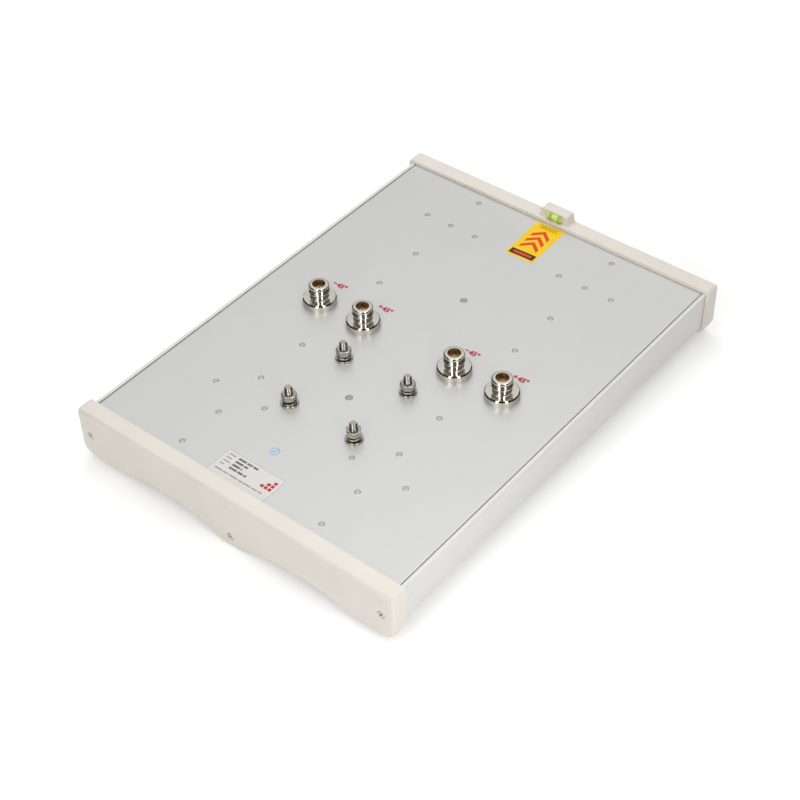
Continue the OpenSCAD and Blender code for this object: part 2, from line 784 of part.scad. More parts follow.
// Hexagonal nuts with a countersunk thread, whose faces are turned to a cone so that the corners fall away
module stud_nuts() {
    bore_d = stud_pitch_d + 2 * nut_fit;
    sink_d = bore_d + 2 * (nut_sink + past);
    face_r = nut_face_d / 2;
    cone_r = nut_af / cos(30) / 2 + past;
    fall = (cone_r - face_r) * tan(30);
    color(nickel) for (i = [0 : 3]) {
        at([stud_places[i]]) difference() {
            intersection() {
                rotate([0, 0, nut_turns[i]]) hexagon(nut_af, nut_low_z, stack_h);
                rotate_extrude() polygon([
                    [0, nut_low_z], [face_r, nut_low_z], [cone_r, nut_low_z + fall],
                    [cone_r, stack_h - fall], [face_r, stack_h], [0, stack_h]
                ]);
            }
            post(bore_d, 0, stack_h + past);
            translate([0, 0, stack_h - nut_sink]) cylinder(d1 = bore_d, d2 = sink_d, h = nut_sink + past);
            translate([0, 0, nut_low_z - past]) cylinder(d1 = sink_d, d2 = bore_d, h = nut_sink + past);
        }
    }
}

// Clinched standoffs of one column, flush with the back plate's outer face and tapped from inside
module standoffs(x) {
    color(steel) at(standoff_places(x)) difference() {
        flush_post(standoff_d, board_top_z);
        post(board_screw_d + 2 * hole_fit, board_top_z - past, board_top_z + board_screw_grip + past);
    }
}

module left_standoffs() {
    standoffs(-column_x);
}

module right_standoffs() {
    standoffs(column_x);
}

// Printed feed board of one column, drilled for its screws, spacers and connector pins
module feed_board(x) {
    length = 2 * (end_standoff_y + board_end);
    color(board_green) difference() {
        translate([x - board_width / 2, middle_y - length / 2, board_back_z])
            cube([board_width, length, board_t]);
        translate([0, 0, board_back_z - past]) linear_extrude(board_t + 2 * past) {
            at(standoff_places(x)) circle(d = board_screw_d + 4 * hole_fit);
            at(pin_places(x)) circle(d = contact_pin_d + 2 * hole_fit);
            at(radiator_places(x)) circle(d = spacer_pin_d + 2 * hole_fit);
        }
    }
}

module left_feed_board() {
    feed_board(-column_x);
}

module right_feed_board() {
    feed_board(column_x);
}

// Pan-head screws that hold one feed board to its standoffs
module board_screws(x) {
    color(steel) at(standoff_places(x)) {
        post(board_screw_head_d, board_back_z - board_screw_head_h, board_back_z);
        post(board_screw_d, board_back_z, board_top_z + board_screw_grip);
    }
}

module left_board_screws() {
    board_screws(-column_x);
}

module right_board_screws() {
    board_screws(column_x);
}

// Square radiators of one column, set on their corners for slanted polarisation
module patches(x) {
    color(plate_silver) at(radiator_places(x)) difference() {
        rotate([0, 0, 45]) translate([-patch_side / 2, -patch_side / 2, patch_back_z])
            cube([patch_side, patch_side, patch_t]);
        post(spacer_pin_d + 2 * hole_fit, patch_back_z - past, patch_top_z + past);
    }
}

module left_patches() {
    patches(-column_x);
}

module right_patches() {
    patches(column_x);
}

// Plastic spacers of one column, snapped through the feed board and the radiators
module patch_spacers(x) {
    color(ptfe_white) at(radiator_places(x)) {
        post(spacer_head_d, patch_back_z - spacer_head_h, patch_back_z);
        post(spacer_pin_d, patch_back_z, patch_top_z);
        post(spacer_d, patch_top_z, board_back_z);
        post(spacer_pin_d, board_back_z, board_top_z);
        post(spacer_head_d, board_top_z, board_top_z + spacer_head_h);
    }
}

module left_patch_spacers() {
    patch_spacers(-column_x);
}

module right_patch_spacers() {
    patch_spacers(column_x);
}

// Aluminium tee under the plate that keeps the two columns apart
module divider() {
    color(plate_silver) difference() {
        end_on(middle_y + divider_length / 2) linear_extrude(divider_length) {
            translate([-divider_foot_w / 2, plate_back_z - divider_t]) square([divider_foot_w, divider_t]);
            translate([-divider_t / 2, plate_back_z - divider_h]) square([divider_t, divider_h]);
        }
        at(divider_rivet_places) {
            post(divider_rivet_d + 2 * standoff_fit, plate_back_z - divider_t - past, 0);
            post(divider_rivet_head_d + past, plate_back_z - divider_h - past, plate_back_z - divider_t);
        }
    }
}

// Flush rivets through the plate and the divider's foot
module divider_rivets() {
    foot_z = plate_back_z - divider_t;
    color(steel) at(divider_rivet_places) {
        flush_post(divider_rivet_d, foot_z);
        post(divider_rivet_head_d, foot_z - divider_rivet_head_h, foot_z);
    }
}

radome();
back_plate();
top_end_cap();
bottom_end_cap();
top_cap_screws();
bottom_cap_screws();
level_vial();
level_fluid();
connector_body(0);  // connector_1_body
connector_insulator(0);  // connector_1_insulator
connector_contact(0);  // connector_1_contact
connector_oring(0);  // connector_1_oring
connector_nut(0);  // connector_1_nut
connector_body(1);  // connector_2_body
connector_insulator(1);  // connector_2_insulator
connector_contact(1);  // connector_2_contact
connector_oring(1);  // connector_2_oring
connector_nut(1);  // connector_2_nut
connector_body(2);  // connector_3_body
connector_insulator(2);  // connector_3_insulator
connector_contact(2);  // connector_3_contact
connector_oring(2);  // connector_3_oring
connector_nut(2);  // connector_3_nut
connector_body(3);  // connector_4_body
connector_insulator(3);  // connector_4_insulator
connector_contact(3);  // connector_4_contact
connector_oring(3);  // connector_4_oring
connector_nut(3);  // connector_4_nut
mounting_studs();
stud_flat_washers();
stud_spring_washers();
stud_nuts();
left_standoffs();
right_standoffs();
left_feed_board();
right_feed_board();
left_board_screws();
right_board_screws();
left_patches();
right_patches();
left_patch_spacers();
right_patch_spacers();
divider();
divider_rivets();
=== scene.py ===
# %% [markdown]
# # A sector antenna on a white studio floor
# The antenna lies on its front with the aluminium back plate up. Its solids are already made to size, so
# this lesson only dresses them: it gives every surface its finish, cuts the threads that the solids leave
# plain, adds what is printed or stuck on the plate, and sets up the light and the camera.

# %% Load the frame
import json
import math

import bmesh
import bpy
import numpy as np
from mathutils import Matrix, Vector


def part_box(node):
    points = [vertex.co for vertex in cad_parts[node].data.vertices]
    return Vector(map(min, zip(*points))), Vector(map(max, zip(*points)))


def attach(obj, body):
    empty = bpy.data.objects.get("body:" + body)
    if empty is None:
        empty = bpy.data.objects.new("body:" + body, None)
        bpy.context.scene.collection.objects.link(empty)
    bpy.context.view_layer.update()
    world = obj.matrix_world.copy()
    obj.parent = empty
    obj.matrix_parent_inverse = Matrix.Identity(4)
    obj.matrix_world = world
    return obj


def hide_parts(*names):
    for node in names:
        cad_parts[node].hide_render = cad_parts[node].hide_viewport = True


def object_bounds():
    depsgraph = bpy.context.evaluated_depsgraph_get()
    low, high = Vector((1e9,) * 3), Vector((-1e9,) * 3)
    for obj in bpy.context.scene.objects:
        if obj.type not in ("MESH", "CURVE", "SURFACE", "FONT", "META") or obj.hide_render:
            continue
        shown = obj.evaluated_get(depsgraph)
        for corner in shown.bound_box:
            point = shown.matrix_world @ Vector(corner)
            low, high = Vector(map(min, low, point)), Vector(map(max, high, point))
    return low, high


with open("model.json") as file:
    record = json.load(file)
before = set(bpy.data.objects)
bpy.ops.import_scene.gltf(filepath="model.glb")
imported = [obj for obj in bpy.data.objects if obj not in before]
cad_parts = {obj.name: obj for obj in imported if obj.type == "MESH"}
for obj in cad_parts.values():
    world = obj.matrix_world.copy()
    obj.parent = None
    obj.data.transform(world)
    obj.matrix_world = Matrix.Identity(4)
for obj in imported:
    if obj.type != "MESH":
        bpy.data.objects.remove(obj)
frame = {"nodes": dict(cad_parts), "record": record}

MM = 0.001
nodes = frame["nodes"]
mounts = {m["name"]: m for m in frame["record"]["mounts"]}
cad_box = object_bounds()
print("frame:", len(nodes), "nodes,", [round(v / MM, 1) for v in cad_box[1] - cad_box[0]], "mm")

# %% [markdown]
# ## Finishes
# A colour is easiest to pick as a hex value, which is coded with the sRGB curve. Shaders count in linear
# light, so one function undoes that curve. Materials could be clicked together by hand; here one small
# function adds a node, sets it and links it, which keeps each material short enough to read as a recipe.


# %% Colour, node and material helpers
def linear(hex_colour):
    """sRGB hex to linear RGBA: c / 12.92 for dark values, else ((c + 0.055) / 1.055) to the power 2.4."""
    c = np.array([int(hex_colour[i:i + 2], 16) for i in (0, 2, 4)]) / 255
    return (*np.where(c <= 0.04045, c / 12.92, ((c + 0.055) / 1.055) ** 2.4), 1.0)


def add(tree, kind, values=(), links=(), **settings):
    """Adds a node, with its settings, the values of its inputs and the sockets that feed them."""
    node = tree.nodes.new(kind)
    for name, value in settings.items():
        setattr(node, name, value)
    for socket, value in dict(values).items():
        node.inputs[socket].default_value = value
    for socket, source in dict(links).items():
        tree.links.new(source, node.inputs[socket])
    return node


def start_material(name, **values):
    """A new material with one Principled shader; values are its sockets, with _ for each space."""
    material = bpy.data.materials.new(name)
    material.use_nodes = True
    tree = material.node_tree
    tree.nodes.clear()
    shader = add(tree, "ShaderNodeBsdfPrincipled", {k.replace("_", " "): v for k, v in values.items()})
    add(tree, "ShaderNodeOutputMaterial", links={"Surface": shader.outputs[0]})
    return material, tree, shader


print("hex 808080 is", round(linear("808080")[0], 3), "in linear light")

# %% [markdown]
# No real surface is quite even, so every finish gets some noise. Object coordinates keep the pattern
# still on its piece. All lengths here are in mm, and the size of a pattern is turned into a node's scale.
# A noise mostly stays between 0.3 and 0.7, and two helpers stretch that range to the values or the
# colours that are wanted.

# %% Noise helpers
NOISE_LOW, NOISE_HIGH = 0.3, 0.7


def per_mm(size):
    """Scale of a noise whose features are that many millimetres across: one over the size in metres."""
    return 1 / (size * MM)


def speckle(tree, size, stretch=(1, 1, 1), detail=2.0):
    """Noise on Object coordinates with features of a size in mm, drawn out by stretch along each axis."""
    place = add(tree, "ShaderNodeTexCoord").outputs["Object"]
    drawn = add(tree, "ShaderNodeMapping", {"Scale": [1 / s for s in stretch]}, {"Vector": place})
    noise = add(tree, "ShaderNodeTexNoise", {"Scale": per_mm(size), "Detail": detail},
                {"Vector": drawn.outputs[0]})
    return noise.outputs["Fac"]


def between(tree, factor, low, high):
    """A value that runs from low to high as a noise runs through its usual range."""
    spread = add(tree, "ShaderNodeMapRange",
                 {"From Min": NOISE_LOW, "From Max": NOISE_HIGH, "To Min": low, "To Max": high},
                 {"Value": factor})
    return spread.outputs[0]


def blend(tree, factor, first, second):
    """Colour that runs from one hex value to another as a noise runs through its usual range."""
    mix = add(tree, "ShaderNodeMix", {"A": linear(first), "B": linear(second)},
              {"Factor": between(tree, factor, 0, 1)}, data_type="RGBA")
    return mix.outputs["Result"]


def calculate(tree, operation, first, second):
    """Result of a Math node on two sockets, or on a socket and a number."""
    if isinstance(second, bpy.types.NodeSocket):
        node = add(tree, "ShaderNodeMath", links={0: first, 1: second}, operation=operation)
    else:
        node = add(tree, "ShaderNodeMath", {1: second}, {0: first}, operation=operation)
    return node.outputs[0]


print("a noise with features of 2 mm has the scale", per_mm(2))

# %% [markdown]
# The back plate is satin anodised aluminium. Etching before anodising leaves a fine, nearly even matt
# skin that still mirrors what stands on it, blurred after a few millimetres. The clear oxide film on top
# scatters part of the light as paint does, so the shader is about two thirds metal and one third matt.
# The rolling grain runs along the plate; at its true 0.1 mm it would vanish, so it is drawn 0.7 mm wide
# and kept faint. The parts inside are bare mill-finish sheet, which is all metal.

# %% Aluminium
GRAIN_WIDTH, GRAIN_DRAWN, CLOUDS, UNEVEN = 0.7, 60, 45, 0.01


def satin_aluminium(name, dark, light, roughness, metallic):
    """Rolled aluminium: grain along Y plus slow clouds in the colour, and the clouds in the roughness."""
    material, tree, shader = start_material(name, Metallic=metallic)
    grain = speckle(tree, GRAIN_WIDTH, stretch=(1, GRAIN_DRAWN, 1))
    clouds = speckle(tree, CLOUDS)
    both = calculate(tree, "MULTIPLY", calculate(tree, "ADD", grain, clouds), 0.5)
    dulled = between(tree, clouds, roughness - UNEVEN, roughness + UNEVEN)
    tree.links.new(blend(tree, both, dark, light), shader.inputs["Base Color"])
    tree.links.new(dulled, shader.inputs["Roughness"])
    return material


anodised = satin_aluminium("satin_anodised_aluminium", "DADAD8", "DDDDDB", 0.47, 0.65)
mill_finish = satin_aluminium("mill_finish_aluminium", "C2C2C0", "CECECC", 0.40, 1.0)
print("aluminium:", anodised.name, mill_finish.name)

# %% [markdown]
# Two plastics make the shell. The radome is PVC pushed through a die, so what texture it has runs along
# it. The caps are moulded ASA in a warmer cream, from a mould with a fine spark-eroded grain. The grain
# is about 0.15 mm on the real caps; it is drawn at 0.5 mm so that it still breaks up the highlights at
# this distance. Both are bump and not geometry, because they are only hundredths of a millimetre deep.

# %% Plastics
DIE_LINE, DIE_DRAWN, MOULD_GRAIN, MOULD_CLOUDS, TEXTURE_DEPTH = 1.2, 150, 0.5, 30, 0.02


def roughen(tree, shader, height, strength):
    """Bumps a shader with a noise that is two hundredths of a millimetre high."""
    bump = add(tree, "ShaderNodeBump", {"Strength": strength, "Distance": TEXTURE_DEPTH * MM},
               {"Height": height})
    tree.links.new(bump.outputs[0], shader.inputs["Normal"])


def extruded_pvc():
    """Grey-white PVC with die lines along Y: noise drawn out lengthways drives colour, gloss and bump."""
    material, tree, shader = start_material("extruded_pvc", IOR=1.53)
    lines = speckle(tree, DIE_LINE, stretch=(1, DIE_DRAWN, 1))
    tree.links.new(blend(tree, lines, "E2E1DC", "E6E5E1"), shader.inputs["Base Color"])
    tree.links.new(between(tree, lines, 0.36, 0.44), shader.inputs["Roughness"])
    roughen(tree, shader, lines, 0.15)
    return material


def moulded_asa():
    """Cream ASA: a fine grain as bump, and slow warm clouds in the colour as thick and thin walls cool."""
    material, tree, shader = start_material("moulded_asa", IOR=1.52, Subsurface_Weight=0.06,
                                            Subsurface_Radius=(1, 0.8, 0.6), Subsurface_Scale=1.5 * MM)
    clouds = speckle(tree, MOULD_CLOUDS)
    grain = speckle(tree, MOULD_GRAIN, detail=3.0)
    tree.links.new(blend(tree, clouds, "E8E1D7", "ECE6DD"), shader.inputs["Base Color"])
    tree.links.new(between(tree, grain, 0.42, 0.52), shader.inputs["Roughness"])
    roughen(tree, shader, grain, 0.25)
    return material


pvc = extruded_pvc()
asa = moulded_asa()
print("plastics:", pvc.name, asa.name)

# %% [markdown]
# What is left is plainer stuff, whose colour and roughness drift a little. One function makes them all:
# it takes two colours, two roughnesses and the size of the drift.
#
# The jacks are brass under bright nickel, which is a little yellower than chromium. They mirror the
# studio sharply, so most of their look comes from the light. The studs, nuts and washers are tumbled in a
# barrel while they are plated, which leaves them darker and duller. The contacts and the inside of the
# jacks are gold plated. The flush discs and the cap screws are plain steel.


# %% Bright metals
def clouded(name, dark, light, low, high, size, **values):
    """Any plain stuff whose colour and roughness drift between two values over a size in mm."""
    material, tree, shader = start_material(name, **values)
    drift = speckle(tree, size)
    tree.links.new(blend(tree, drift, dark, light), shader.inputs["Base Color"])
    tree.links.new(between(tree, drift, low, high), shader.inputs["Roughness"])
    return material


def metal(name, dark, light, low, high, grain=1.5):
    """A bare or plated metal: all mirror, with marks of a grain in mm from plating and handling."""
    return clouded(name, dark, light, low, high, grain, Metallic=1.0)


nickel = metal("bright_nickel_plate", "D3CEC4", "DBD6CD", 0.07, 0.13)
hardware = metal("dull_nickel_plate", "B4AFA6", "C0BBB2", 0.24, 0.32, grain=0.5)
gold = metal("gold_plate", "D4BB98", "DCC5A2", 0.24, 0.34)
polished_gold = metal("polished_gold_plate", "E2C79A", "EBD3AA", 0.10, 0.16, grain=0.5)
stainless = metal("turned_stainless_steel", "CACAC7", "D2D2CF", 0.34, 0.44, grain=0.6)
rivet_steel = metal("rolled_rivet_steel", "B0B0AE", "BABAB7", 0.34, 0.44, grain=0.6)
screw_steel = metal("passivated_screw_steel", "D0CCC2", "DCD8CE", 0.20, 0.30, grain=0.4)
metals = (nickel, hardware, gold, polished_gold, stainless, rivet_steel, screw_steel)
print("metals:", [m.name for m in metals])

# %% [markdown]
# What little else there is: PTFE beads in the jacks, nylon spacers, rubber rings, the printed laminate of
# the feed boards, and the clear acrylic vial with its tinted liquid. The vial could refract, but a thin
# clear wall round a liquid shows little of that at this size and takes many light bounces, so it is
# see-through by its alpha. The liquid also has a weak yellow-green emission: a painted glow that lights
# it from within, though it is no lamp.

# %% Insulators, laminate, rubber and the vial
ptfe = clouded("machined_ptfe", "E9E5DA", "F0EDE4", 0.40, 0.55, 2, IOR=1.35)
rubber = clouded("moulded_rubber", "171716", "232322", 0.60, 0.75, 1)
laminate = clouded("glass_fibre_laminate", "1F4A2A", "2A5C36", 0.25, 0.40, 0.8, IOR=1.55)
acrylic = clouded("clear_acrylic", "E6F0B4", "EEF5C8", 0.03, 0.07, 4, IOR=1.49, Alpha=0.3)
# Its emission is a painted glow that lights the liquid and what is near it, though it is no lamp.
tinted_liquid_painted_glow = clouded("tinted_level_liquid_painted_glow", "CCE21C", "D6EA2A", 0.05, 0.10, 6, IOR=1.36,
                        Emission_Color=linear("D0E81A"), Emission_Strength=0.35)
print("others:", [m.name for m in (ptfe, rubber, laminate, acrylic, tinted_liquid_painted_glow)])

# %% [markdown]
# ## Dress the solids
# A solid whose form is right keeps its mesh and only takes a finish; to model it again would only put its
# size at risk. Its object has one material slot, so the finish is put there.

# %% Give each node its finish
dressed = []


def dress(material, *names):
    """Puts a material in the first slot of each named node, or adds the slot where there is none."""
    for name in names:
        node = nodes[name]
        if node.material_slots:
            node.material_slots[0].material = material
        else:
            node.data.materials.append(material)
    dressed.extend(names)


JACKS = (1, 2, 3, 4)
SIDES = ("left", "right")
dress(anodised, "back_plate")
dress(mill_finish, "divider", *[f"{s}_patches" for s in SIDES])
dress(pvc, "radome")
dress(asa, "top_end_cap", "bottom_end_cap")
dress(nickel, *[f"connector_{i}_nut" for i in JACKS])
dress(hardware, "stud_flat_washers", "stud_spring_washers", "stud_nuts")
dress(polished_gold, *[f"connector_{i}_contact" for i in JACKS])
dress(ptfe, *[f"connector_{i}_insulator" for i in JACKS], *[f"{s}_patch_spacers" for s in SIDES])
dress(rubber, *[f"connector_{i}_oring" for i in JACKS])
dress(stainless, *[f"{s}_standoffs" for s in SIDES], *[f"{s}_board_screws" for s in SIDES])
dress(rivet_steel, "divider_rivets")
dress(screw_steel, "top_cap_screws", "bottom_cap_screws")
dress(laminate, *[f"{s}_feed_board" for s in SIDES])
dress(acrylic, "level_vial")
dress(tinted_liquid_painted_glow, "level_fluid")
print("dressed", len(dressed), "of", len(nodes), "nodes; the others get new surfaces below")

# %% [markdown]
# ## Threads
# A thread is a groove wound round a cylinder. It could be bump, but a bump has no outline, and the crests
# on a jack show against the light. So the turned pieces are made again as surfaces of revolution: a
# section of radius against height is carried round the axis, and in the threaded rows the radius also
# swings with the angle. The phase of the groove at height z and angle a is z / pitch - a / 2 pi.

# %% Surfaces of revolution with a thread
OVERSHOOT = 0.125


def vee(phase):
    """Depth of a vee thread, 0 at the crest and 1 at the root.

    It is a triangle wave that overshoots both ends and is clipped there to flats of a tenth of a pitch.
    """
    return np.clip((1 + 2 * OVERSHOOT) * np.abs(2 * (phase % 1) - 1) - OVERSHOOT, 0, 1)


def arc(centre, radius, start, end, count=7):
    """Points (r, z) on a circle from one angle in degrees to another."""
    a = np.radians(np.linspace(start, end, count))
    return np.column_stack([centre[0] + radius * np.cos(a), centre[1] + radius * np.sin(a)])


def turned(section, columns, pitch=1.0, depth=None):
    """A section (r, z) carried round Z: x = r cos a, y = r sin a, with r cut by depth times vee."""
    a = np.linspace(0, 2 * np.pi, columns, endpoint=False)
    r, z = section[:, :1], section[:, 1:]
    cut = 0 if depth is None else depth[:, None] * vee(z / pitch - a / (2 * np.pi))
    return np.stack([(r - cut) * np.cos(a), (r - cut) * np.sin(a), z + 0 * a], axis=-1)


def grid_faces(rows, columns, wrap_rows):
    """Corner numbers of the quads on a grid that closes round its columns, and round its rows if asked."""
    i, j = np.meshgrid(np.arange(rows if wrap_rows else rows - 1), np.arange(columns), indexing="ij")
    up, on = (i + 1) % rows, (j + 1) % columns
    quads = [i * columns + j, i * columns + on, up * columns + on, up * columns + j]
    return np.stack(quads, axis=-1).reshape(-1, 4)


print("thread depth at root, flank and crest:", vee(np.array([0, 0.25, 0.5])))

# %% [markdown]
# Arrays become a piece in one place. The mesh takes the points in metres, so the object itself stays at
# the origin. All faces are smooth, and edges that bend more than an angle are marked sharp. A new piece
# has to say which body it rides on; this antenna has only one.


# %% From arrays to a piece
def make_piece(name, points, faces, materials, sharp=40):
    """A mesh object from points in mm and lists of corners, smooth but for edges past an angle."""
    mesh = bpy.data.meshes.new(name)
    mesh.from_pydata((points.reshape(-1, 3) * MM).tolist(), [], faces)
    for material in materials:
        mesh.materials.append(material)
    mesh.polygons.foreach_set("use_smooth", np.ones(len(mesh.polygons), bool))
    mesh.set_sharp_from_angle(angle=math.radians(sharp))
    mesh.update()
    piece = bpy.data.objects.new(name, mesh)
    bpy.context.scene.collection.objects.link(piece)
    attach(piece, "root")
    return piece


# %% [markdown]
# A jack is turned from bar: a tail that passes the plate, a round flange, a waisted neck, the coupling
# thread (5/8 inch, 24 to the inch) and a rounded nose round the bore, whose gold-plated mouth is flared a
# little. Its main sizes come from the node it stands for and from the mount that gives the thread. The
# section is a closed loop, so the surface has no open edge and no pole.

# %% Section of a jack
low, high = (np.array(c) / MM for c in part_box("connector_1_body"))
thread = mounts["connector_1_thread"]
flange_r = (high[0] - low[0]) / 2
jack_top = high[2]
tail_bottom = low[2]
thread_r = thread["dims"]["r_mm"]
thread_low = thread["pos_m"][2] / MM - thread["dims"]["length_mm"] / 2
thread_high = thread["pos_m"][2] / MM + thread["dims"]["length_mm"] / 2
tail_r, flange_h, rim_chamfer, neck_r = 7.5, 6.0, 0.9, 6.75
bore_r, mouth_flare, flare_depth, shoulder_r, shoulder_h = 4.3, 0.7, 2.2, 3.3, 1.0
groove_in, groove_out, groove_h = 8.95, 10.45, 1.5
nose_r, nose_from = jack_top - thread_high, 15
COUPLING_PITCH, COUPLING_DEPTH, ROWS_PER_PITCH = 25.4 / 24, 0.38, 12

thread_rows = round((thread_high - thread_low) / COUPLING_PITCH * ROWS_PER_PITCH)
thread_z = np.linspace(thread_low, thread_high, thread_rows)
outside = np.vstack([
    [(shoulder_r, tail_bottom), (tail_r, tail_bottom), (tail_r, 0), (groove_in, 0), (groove_in, groove_h)],
    [(groove_out, groove_h), (groove_out, 0), (flange_r, 0), (flange_r, flange_h - rim_chamfer)],
    [(flange_r - rim_chamfer, flange_h)],
    arc((neck_r + rim_chamfer, flange_h + rim_chamfer), rim_chamfer, 270, 180),
    [(neck_r, thread_low - thread_r + neck_r)],
])
barrel = np.column_stack([np.full_like(thread_z, thread_r), thread_z])
nose = arc((thread_r - nose_r, thread_high), nose_r, nose_from, 90)
bore = np.array([
    (bore_r + mouth_flare, jack_top),
    (bore_r, jack_top - flare_depth),
    (bore_r, tail_bottom + shoulder_h),
    (shoulder_r, tail_bottom + shoulder_h),
])
jack_section = np.vstack([outside, barrel, nose, bore])
print("jack:", len(jack_section), "rows, flange", round(2 * flange_r, 2), "mm, thread", 2 * thread_r, "mm")

# %% [markdown]
# The section is now carried round, with the groove fading in and out over one pitch at the thread's ends.
# The four jacks share one grid of points, moved to each mount. A face knows its row, so the rows from the
# mouth inwards can take the gold and the others the nickel.

# %% Turn the four jacks
COLUMNS = 96
fade = np.clip(np.minimum(thread_z - thread_low, thread_high - thread_z) / COUPLING_PITCH, 0, 1)
jack_depth = np.zeros(len(jack_section))
jack_depth[len(outside):len(outside) + len(barrel)] = COUPLING_DEPTH * fade
jack_points = turned(jack_section, COLUMNS, COUPLING_PITCH, jack_depth)
jack_faces = grid_faces(len(jack_section), COLUMNS, wrap_rows=True).tolist()
gold_from = len(jack_section) - len(bore)
jack_finish = (np.arange(len(jack_faces)) // COLUMNS >= gold_from).astype(np.int32)
for i in JACKS:
    centre = np.array(mounts[f"connector_{i}_thread"]["pos_m"]) / MM * (1, 1, 0)
    name = f"connector_{i}_turned_body"
    jack = make_piece(name, jack_points + centre, jack_faces, [nickel, gold], sharp=30)
    jack.data.polygons.foreach_set("material_index", jack_finish)
    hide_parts(f"connector_{i}_body")
print("jacks: 4 pieces of", len(jack_faces), "faces")

# %% [markdown]
# The studs are M6: a pitch of 1 mm. Under the nuts nothing shows, so the thread starts at the nut's face.
# Each stud is solid, so its surface ends in a flat face at both ends. The four make one piece, as they
# are one node: the points of one stud are set down at four places, and its faces count on from stud to
# stud.

# %% Turn the studs
stud_low, stud_high = (np.array(c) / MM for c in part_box("mounting_studs"))
pattern = mounts["bracket_studs"]
STUD_PITCH, STUD_DEPTH, STUD_COLUMNS = 1.0, 0.4, 48
stud_r, head_r, head_h, plate_t, pitch_r, tip = pattern["dims"]["stud_r_mm"], 4.5, 1.6, 2.0, 2.675, 0.7
nut_face = pattern["pos_m"][2] / MM
stud_top = stud_high[2] - tip
stud_z = np.linspace(nut_face, stud_top, round((stud_top - nut_face) / STUD_PITCH * ROWS_PER_PITCH))
foot = [(head_r, stud_low[2]), (head_r, stud_low[2] + head_h), (pitch_r, -plate_t), (pitch_r, nut_face)]
shank = np.column_stack([np.full_like(stud_z, stud_r), stud_z])
stud_section = np.vstack([foot, shank, [(stud_r - tip, stud_high[2])]])
stud_depth = np.zeros(len(stud_section))
stud_depth[len(foot):len(foot) + len(shank)] = STUD_DEPTH

stud_points = turned(stud_section, STUD_COLUMNS, STUD_PITCH, stud_depth).reshape(-1, 3)
half_x, half_y = pattern["dims"]["spacing_x_mm"] / 2, pattern["dims"]["spacing_y_mm"] / 2
places = np.array([(x, y, 0) for x in (-half_x, half_x) for y in (-half_y, half_y)])
count = len(stud_points)
firsts = count * np.arange(len(places))[:, None, None]
sides = grid_faces(len(stud_section), STUD_COLUMNS, wrap_rows=False) + firsts
rims = np.array([np.arange(STUD_COLUMNS)[::-1], np.arange(count - STUD_COLUMNS, count)]) + firsts
stud_faces = sides.reshape(-1, 4).tolist() + rims.reshape(-1, STUD_COLUMNS).tolist()
studs = make_piece("threaded_studs", stud_points + places[:, None], stud_faces, [hardware], sharp=30)
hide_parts("mounting_studs")
print("studs:", len(places), "in one piece of", len(stud_faces), "faces")

# %% [markdown]
# ## Print and stickers
# Ink and vinyl are very thin. They could be painted into the plate's material, but they have an edge and
# a gloss of their own, so each is a closed flat solid that lies on the plate. An outline is a ring of
# points, and a prism stands on it.

# %% Outlines and prisms
SLIT = 0.5


def prism(outline, low, high):
    """An upright prism: the outline (x, y), anticlockwise, at two levels, with both ends and its sides."""
    n = len(outline)
    points = np.vstack([np.column_stack([outline, np.full(n, z)]) for z in (low, high)])
    i = np.arange(n)
    on = (i + 1) % n
    walls = np.column_stack([i, on, on + n, i + n])
    return points, [i[::-1], i + n, *walls]


def rounded_box(x, y, width, height, radius=0.0):
    """Outline of a rectangle about a centre, its corners quarter circles of a radius."""
    if radius == 0:
        signs = np.array([(-1, -1), (1, -1), (1, 1), (-1, 1)])
        return signs * (width / 2, height / 2) + (x, y)
    corners = [(1, -1, 270), (1, 1, 0), (-1, 1, 90), (-1, -1, 180)]
    in_x, in_y = width / 2 - radius, height / 2 - radius
    return np.vstack([arc((x + sx * in_x, y + sy * in_y), radius, a, a + 90) for sx, sy, a in corners])


def ring(x, y, outer, inner, count=48):
    """Outline of a ring with a slit of a degree: round the outer circle, then back round the inner one."""
    there = arc((x, y), outer, SLIT, 360 - SLIT, count)
    back = arc((x, y), inner, 360 - SLIT, SLIT, count)
    return np.vstack([there, back])


def lay(name, outlines, levels, material, slot, centre=(0, 0), turn=0.0):
    """Lays prisms of several outlines between two levels as one piece, turned and moved to a centre."""
    c, s = math.cos(math.radians(turn)), math.sin(math.radians(turn))
    points, faces, start = [], [], 0
    for outline in outlines:
        corners, sides = prism(np.asarray(outline) @ np.array([[c, s], [-s, c]]) + centre, *levels)
        points.append(corners)
        faces += [(side + start).tolist() for side in sides]
        start += len(corners)
    piece = make_piece(name, np.vstack(points), faces, [material])
    return piece


print("a rounded box has", len(rounded_box(0, 0, 2, 1, 0.2)), "points")

# %% [markdown]
# Screen ink covers a little unevenly and is flatter than what it lies on; vinyl is smooth and shinier.
# Each layer has its own level above the plate: vinyl on the plate, ink on the vinyl, and a second ink on
# the first.

# %% Inks, vinyls and their levels
VINYL, INK = 0.10, 0.05
PLATE_INK, PLATE_VINYL = (0, INK), (0, VINYL)
VINYL_INK, SECOND_INK = (VINYL, VINYL + INK), (VINYL + INK, VINYL + 2 * INK)


def ink(name, dark, light):
    """Screen-printed ink, uneven over a little more than half a millimetre."""
    return clouded(name, dark, light, 0.45, 0.60, 0.6)


def vinyl(name, dark, light):
    """Smooth self-adhesive film that drifts in tone over several millimetres."""
    return clouded(name, dark, light, 0.28, 0.36, 8)


